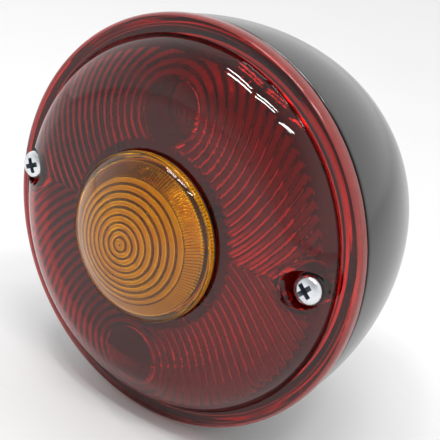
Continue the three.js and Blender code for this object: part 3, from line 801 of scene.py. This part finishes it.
# ---------------------------------------------------------------------------------------------------
# Terminal block: a white nylon strip with four poles on the bowl's floor. The lamp's four leads, in
# coloured PVC, are clamped in it by small slotted screws and run to the bulb contacts and the carrier.
# ---------------------------------------------------------------------------------------------------
BLOCK_BACK = -76.7
BLOCK_FRONT = -66.7
BLOCK_HEIGHT = centre("terminal_block")[1]
POLE_PITCH = 7.5
LEAD_AHEAD = BLOCK_BACK + 3.6
LEAD_RADIUS = 1.1
LEAD_END = -57.5
poles = [(i - 1.5) * POLE_PITCH for i in range(4)]
nylon = finish("white nylon", (0.70, 0.68, 0.62), (0.82, 0.80, 0.75), (0.4, 0.5),
               patch=80, grain=600, bump=0.02)
surface(nylon).inputs["Subsurface Weight"].default_value = 0.15
surface(nylon).inputs["Subsurface Scale"].default_value = 0.002

strip = block("nylon_strip", 4 * POLE_PITCH, 12, BLOCK_BACK, BLOCK_FRONT, 0, BLOCK_HEIGHT, bevel=0.5)
cutters = []
for pole in poles:
    well = [(0, BLOCK_FRONT - 4), (2.4, BLOCK_FRONT - 4), (2.4, BLOCK_FRONT - 0.5), (3, BLOCK_FRONT + 1),
            (0, BLOCK_FRONT + 1)]
    cutters.append(turned("well", well, 40, pole, BLOCK_HEIGHT))
    for way in (-1, 1):
        entry = []
        for reach in (0.2 if way > 0 else -0.2, 7):
            for j in range(24):
                angle = j / 24 * 2 * math.pi
                entry.append((pole + 1.5 * math.cos(angle), LEAD_AHEAD + 1.5 * math.sin(angle),
                              BLOCK_HEIGHT + way * reach))
        faces = [tuple(range(24)), tuple(range(47, 23, -1))]
        faces += [(j, (j + 1) % 24, 24 + (j + 1) % 24, 24 + j) for j in range(24)]
        cutters.append(made("entry", entry, faces))
for gap in (-POLE_PITCH, 0, POLE_PITCH):
    for way in (-1, 1):
        edge = BLOCK_HEIGHT + way * 6
        cutters.append(block("gap", 1.2, 3, BLOCK_BACK + 6, BLOCK_FRONT + 1, gap, edge, bevel=0.3))
worked(strip, "DIFFERENCE", *cutters)
placed(smooth(strip), nylon, "root", "white_nylon", "terminal_block")
for i, pole in enumerate(poles):
    screw = rod(f"clamp_screw_{i + 1}", 2, BLOCK_FRONT - 3.8, BLOCK_FRONT - 0.8, 40, pole, BLOCK_HEIGHT, 0.25)
    worked(screw, "DIFFERENCE", block("slot", 6, 0.7, BLOCK_FRONT - 1.8, BLOCK_FRONT, pole, BLOCK_HEIGHT))
    placed(smooth(screw), zinc, "root", "zinc_screw", f"terminal_screw_{i + 1}")

stop_z, indicator_z, tail_z = (bulb_heights[name] for name in ("stop", "indicator", "tail"))
top, bottom = BLOCK_HEIGHT + 4, BLOCK_HEIGHT - 4
leads = {
    "stop": ("red_lead", (0.42, 0.012, 0.012), [
        (poles[1], LEAD_AHEAD, top), (poles[1], LEAD_AHEAD, top + 6), (-1.6, LEAD_AHEAD + 5, stop_z - 2),
        (0, LEAD_END - 5, stop_z), (0, LEAD_END, stop_z)]),
    "indicator": ("green_lead", (0.03, 0.22, 0.05), [
        (poles[2], LEAD_AHEAD, bottom), (poles[2], LEAD_AHEAD, bottom - 6), (1.2, LEAD_AHEAD + 4, 4),
        (0, LEAD_END - 5, indicator_z), (0, LEAD_END, indicator_z)]),
    "tail": ("brown_lead", (0.16, 0.07, 0.03), [
        (poles[0], LEAD_AHEAD, bottom), (poles[0], LEAD_AHEAD, bottom - 8), (-11, LEAD_AHEAD + 1, -14),
        (-6, LEAD_AHEAD + 4, -35), (0, LEAD_END - 5, tail_z), (0, LEAD_END, tail_z)]),
    "earth": ("white_lead", (0.68, 0.68, 0.64), [
        (poles[3], LEAD_AHEAD, bottom), (poles[3], LEAD_AHEAD, bottom - 5), (15, LEAD_AHEAD + 12, 10),
        (16.5, CARRIER_BACK - 10, 9), (16.5, CARRIER_BACK - 0.3, 9)]),
}
for name, (slot, color, route) in leads.items():
    darker = tuple(0.75 * c for c in color)
    sleeve = finish(f"{name} PVC", darker, color, (0.35, 0.5), patch=120, grain=900, bump=0.02)
    lead = wire(f"{name}_wire", flowing(route, 10), LEAD_RADIUS, 16)
    placed(smooth(lead, 60), sleeve, "root", slot, f"{name}_lead")


# ---------------------------------------------------------------------------------------------------
# Cable grommet: a black rubber moulding snapped into the hole in the bowl's back, with a groove that
# holds the wall and a tapered nose inside. Its bore is for the supply cable.
# ---------------------------------------------------------------------------------------------------
section = [(3.4, -83), (6.4, -83), (7.2, -82.4), (8.2, -80.3), (5.6, -80.3), (5.6, -76.7), (7.2, -76.7),
           (6.4, -74.8), (3.4, -74.8), (3.4, -77.5), (3.0, -78.2), (3.0, -79.2), (3.4, -80)]
grommet = turned("rubber_grommet", eased(section, 0.3), 96, *grommet_spot)
placed(smooth(grommet), rubber, "root", "black_rubber", "cable_grommet")


# ---------------------------------------------------------------------------------------------------
# Mounting studs: two zinc-plated M6 bolts with their heads held in the bowl's hexagonal pockets. The
# lamp hangs on them, and a split spring washer and a nut go on each from behind.
# ---------------------------------------------------------------------------------------------------
STUD_RADIUS = 3.0
STUD_END = -100.0
WASHER_BACK = -81.7
NUT_BACK = WASHER_BACK - 5.2


def hexagon(name, back, front, x, z, chamfer=0.7):
    """A six-sided solid along the lamp's axis, with its corners turned off at both ends."""
    six = rod(name, STUD_HEAD_RADIUS, back, front, 6, x, z, turn=30)
    trim = [(0, back), (5.15, back), (6.1, back + 0.75), (6.1, front - chamfer), (6.1 - 1.3 * chamfer, front),
            (0, front)]
    return worked(six, "INTERSECT", turned("trim", trim, 72, x, z))


for side, (x, z) in stud_spots.items():
    stud = hexagon(f"stud_{side}", -76.7, -73.3, x, z)
    shank = threaded("shank", STUD_RADIUS, 0.55, 1.0, STUD_END, -77.5, x, z, 1.2)
    neck = rod("neck", 2.8, -79, -76, 40, x, z)
    worked(stud, "UNION", shank, neck)
    placed(smooth(stud), zinc, "root", "zinc_screw", f"mounting_stud_{side}")
    washer = flat_ring(f"split_washer_{side}", 3.25, 5.2, WASHER_BACK, -80.2, 0.2, 72, x, z)
    worked(washer, "DIFFERENCE", block("split", 6, 0.8, WASHER_BACK - 1, -79.5, x + 4, z))
    placed(smooth(washer), spring_steel, "root", "spring_steel", f"spring_washer_{side}")
    nut = hexagon(f"nut_{side}", NUT_BACK, WASHER_BACK - 0.2, x, z)
    bore = [(0, NUT_BACK - 1), (3.7, NUT_BACK - 1), (3.2, NUT_BACK + 0.5), (3.2, -81.9), (3.5, -81.5),
            (0, -81.5)]
    worked(nut, "DIFFERENCE", turned("bore", bore, 48, x, z))
    placed(smooth(nut), zinc, "root", "zinc_screw", f"stud_nut_{side}")


# ---------------------------------------------------------------------------------------------------
# The studio: a plain pale floor under the lamp, six soft panes in two rows high up in front, and a sky
# that is brighter behind and low down. The camera is in front, a little above and to the right.
# ---------------------------------------------------------------------------------------------------
scene = bpy.context.scene
scene.view_settings.view_transform = "Standard"
floor_mesh = bpy.data.meshes.new("floor")
reach = 30.0
level = cad_box[0][2] - 0.0005
corners = [(-reach, -reach, level), (reach, -reach, level), (reach, reach, level), (-reach, reach, level)]
floor_mesh.from_pydata(corners, [], [(0, 1, 2, 3)])
floor = bpy.data.objects.new("floor", floor_mesh)
scene.collection.objects.link(floor)
floor_paint = finish("floor paint", (0.86, 0.86, 0.86), (0.90, 0.90, 0.90), (0.6, 0.7),
                     patch=3, grain=200, bump=0.01)
floor_mesh.materials.append(floor_paint)

sky = bpy.data.worlds.new("studio")
sky.use_nodes = True
nodes, links = sky.node_tree.nodes, sky.node_tree.links
nodes["Background"].inputs["Color"].default_value = (1, 1, 1, 1)
way = nodes.new("ShaderNodeTexCoord")
behind = nodes.new("ShaderNodeVectorMath")
behind.operation = "DOT_PRODUCT"
behind.inputs[1].default_value = (0, 1, -1.2)
links.new(way.outputs["Generated"], behind.inputs[0])
brightness = nodes.new("ShaderNodeMapRange")
brightness.interpolation_type = "SMOOTHSTEP"
brightness.inputs["From Min"].default_value = -1.6
brightness.inputs["From Max"].default_value = -0.5
brightness.inputs["To Min"].default_value = 0.45
brightness.inputs["To Max"].default_value = 1.05
links.new(behind.outputs["Value"], brightness.inputs["Value"])
links.new(brightness.outputs["Result"], nodes["Background"].inputs["Strength"])
scene.world = sky


def panel(name, spot, aim, width, height, power):
    """A rectangular soft light."""
    light = bpy.data.lights.new(name, "AREA")
    light.shape = "RECTANGLE"
    light.size = width
    light.size_y = height
    light.energy = power
    lamp = bpy.data.objects.new(name, light)
    lamp.location = spot
    lamp.rotation_euler = (Vector(spot) - Vector(aim)).to_track_quat("Z", "Y").to_euler()
    scene.collection.objects.link(lamp)


PANE_WIDTH, PANE_HEIGHT, PANE_POWER = 0.36, 0.05, 1.8
middle = Vector((0, -0.06, 0))
for across in (-1, 0, 1):
    for up in (-1, 1):
        spot = (0.24 + 0.4 * across, -0.55 - 0.1 * up, 1.3 + 0.05 * up)
        panel("pane", spot, middle, PANE_WIDTH, PANE_HEIGHT, PANE_POWER)

AZIMUTH, ELEVATION, ROLL = math.radians(32.3), math.radians(21.4), math.radians(11.0)
DISTANCE = 0.4
aim = Vector((0.0096, -0.0726, 0.0035))
flat = math.cos(ELEVATION)
towards = Vector((flat * math.sin(AZIMUTH), -flat * math.cos(AZIMUTH), math.sin(ELEVATION)))
level_right = Vector((math.cos(AZIMUTH), math.sin(AZIMUTH), 0))
level_up = towards.cross(level_right)
right = level_right * math.cos(ROLL) + level_up * math.sin(ROLL)
upwards = towards.cross(right)
eye = bpy.data.cameras.new("camera")
eye.sensor_width = 36.0
eye.lens = 98.2
camera = bpy.data.objects.new("camera", eye)
turn = Matrix((right, upwards, towards)).transposed().to_4x4()
camera.matrix_world = Matrix.Translation(aim + towards * DISTANCE) @ turn
scene.collection.objects.link(camera)
scene.camera = camera
